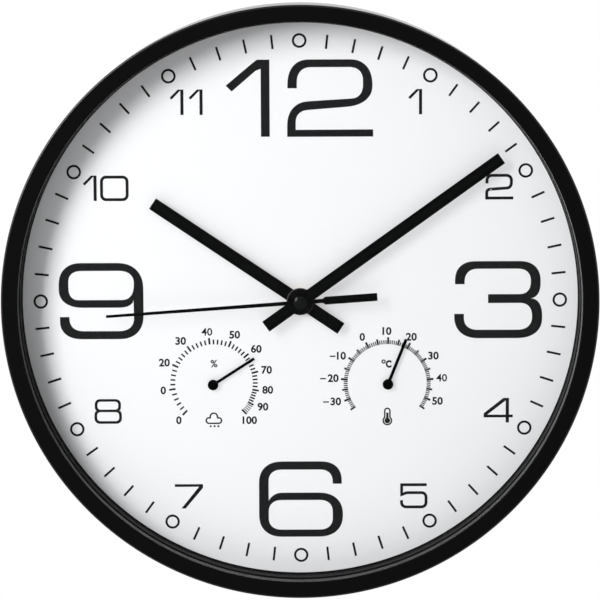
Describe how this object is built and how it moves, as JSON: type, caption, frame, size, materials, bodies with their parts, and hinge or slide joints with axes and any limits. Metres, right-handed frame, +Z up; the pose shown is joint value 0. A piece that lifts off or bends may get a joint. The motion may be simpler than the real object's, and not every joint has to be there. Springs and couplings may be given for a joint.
{
  "type": "weather station wall clock",
  "caption": "Round analogue wall clock in a deep black frame, with a hygrometer and a thermometer on its white dial and a keyhole hanger behind.",
  "frame": {"origin": "the point where the wall hook bears at the top of the hanger slot, in the plane of the wall", "axes": "+Z up, +Y into the wall, dial facing -Y"},
  "size_m": [0.3, 0.042, 0.3],
  "materials": {
    "frame_plastic": "satin black",
    "clear_glass": "clear",
    "spacer_plastic": "matt black",
    "dial_print": "matt white print",
    "back_plastic": "fine texture, dark grey",
    "zinc_steel": "zinc plated",
    "movement_plastic": "matt black",
    "nylon": "natural",
    "brass": "turned",
    "rubber": "matt",
    "copper_wire": "enamelled copper wire",
    "iron": "plain",
    "board": "green lacquer",
    "battery_jacket": "printed sleeve",
    "spring_steel": "nickel plated",
    "hand_metal": "black lacquer",
    "knob_plastic": "matt black",
    "cap_plastic": "gloss black",
    "gauge_plastic": "matt black",
    "bimetal": "bimetal strip",
    "moisture_strip": "coated metal strip"
  },
  "bodies": {
    "case": {"frame_ring": "frame_plastic", "glass_lens": "clear_glass", "spacer_ring": "spacer_plastic", "dial_plate": "dial_print", "back_plate": "back_plastic", "back_plate_screw_1": "zinc_steel", "back_plate_screw_2": "zinc_steel", "back_plate_screw_3": "zinc_steel", "back_plate_screw_4": "zinc_steel", "back_plate_screw_5": "zinc_steel", "back_plate_screw_6": "zinc_steel", "hanger_bracket": "zinc_steel", "hanger_screw_1": "zinc_steel", "hanger_screw_2": "zinc_steel", "stator": "iron", "coil_core": "iron", "coil_bobbin": "nylon", "coil_winding": "copper_wire", "train_plate": "movement_plastic", "circuit_board": "board", "quartz_crystal": "spring_steel", "movement_case": "movement_plastic", "movement_rear_cover": "movement_plastic", "threaded_bush": "brass", "rubber_washer": "rubber", "flat_washer": "brass", "hex_nut": "brass", "battery": "battery_jacket", "contact_plus": "spring_steel", "contact_minus": "spring_steel", "hygrometer_housing": "gauge_plastic", "hygrometer_rear_cap": "gauge_plastic", "hygrometer_coil": "moisture_strip", "thermometer_housing": "gauge_plastic", "thermometer_rear_cap": "gauge_plastic", "thermometer_coil": "bimetal"},
    "seconds_train": {"second_wheel": "nylon", "second_hand": "hand_metal", "second_hand_cap": "cap_plastic"},
    "rotor": {"rotor": "iron"},
    "intermediate": {"intermediate_wheel": "nylon"},
    "third": {"third_wheel": "nylon"},
    "centre": {"centre_wheel": "nylon"},
    "minutes_train": {"cannon_pinion": "brass", "minute_hand": "hand_metal", "minute_hand_collar": "brass"},
    "minute_work": {"minute_wheel": "nylon"},
    "hours_train": {"hour_wheel": "nylon", "hour_hand": "hand_metal"},
    "knob": {"set_knob": "knob_plastic"},
    "hygrometer": {"hygrometer_arbor": "brass", "hygrometer_pointer": "hand_metal"},
    "thermometer": {"thermometer_arbor": "brass", "thermometer_pointer": "hand_metal"}
  },
  "joints": [
    {"name": "seconds", "type": "hinge", "parent": "case", "child": "seconds_train", "pos_m": [0, 0, -0.105], "axis": [0, 1, 0], "continuous": true},
    {"name": "rotor_turn", "type": "hinge", "parent": "case", "child": "rotor", "pos_m": [-0.01559, 0, -0.10197], "axis": [0, 1, 0], "continuous": true},
    {"name": "intermediate_turn", "type": "hinge", "parent": "case", "child": "intermediate", "pos_m": [-0.00832, 0, -0.10617], "axis": [0, 1, 0], "continuous": true},
    {"name": "third_turn", "type": "hinge", "parent": "case", "child": "third", "pos_m": [0.01064, 0, -0.10312], "axis": [0, 1, 0], "continuous": true},
    {"name": "centre_turn", "type": "hinge", "parent": "case", "child": "centre", "pos_m": [0, 0, -0.105], "axis": [0, 1, 0], "continuous": true},
    {"name": "minutes", "type": "hinge", "parent": "case", "child": "minutes_train", "pos_m": [0, 0, -0.105], "axis": [0, 1, 0], "continuous": true},
    {"name": "minute_work_turn", "type": "hinge", "parent": "case", "child": "minute_work", "pos_m": [0.005, 0, -0.09634], "axis": [0, 1, 0], "continuous": true},
    {"name": "hours", "type": "hinge", "parent": "case", "child": "hours_train", "pos_m": [0, 0, -0.105], "axis": [0, 1, 0], "continuous": true},
    {"name": "set_knob_turn", "type": "hinge", "parent": "case", "child": "knob", "pos_m": [0.00759, 0, -0.08668], "axis": [0, 1, 0], "continuous": true},
    {"name": "humidity", "type": "hinge", "parent": "case", "child": "hygrometer", "pos_m": [-0.0444, 0, -0.1479], "axis": [0, 1, 0], "range_deg": [-191.6, 75.1], "stiffness_Nm_per_rad": 0.0004},
    {"name": "temperature", "type": "hinge", "parent": "case", "child": "thermometer", "pos_m": [0.0444, 0, -0.1479], "axis": [0, 1, 0], "range_deg": [-145.8, 102.6], "stiffness_Nm_per_rad": 0.0004}
  ],
  "couplings": [
    {"joint": "rotor_turn", "follows": "seconds", "ratio": 30},
    {"joint": "intermediate_turn", "follows": "seconds", "ratio": -5},
    {"joint": "third_turn", "follows": "seconds", "ratio": -0.125},
    {"joint": "centre_turn", "follows": "seconds", "ratio": 0.016667},
    {"joint": "minute_work_turn", "follows": "minutes", "ratio": -0.33333},
    {"joint": "hours", "follows": "minutes", "ratio": 0.083333},
    {"joint": "set_knob_turn", "follows": "minutes", "ratio": 1}
  ]
}
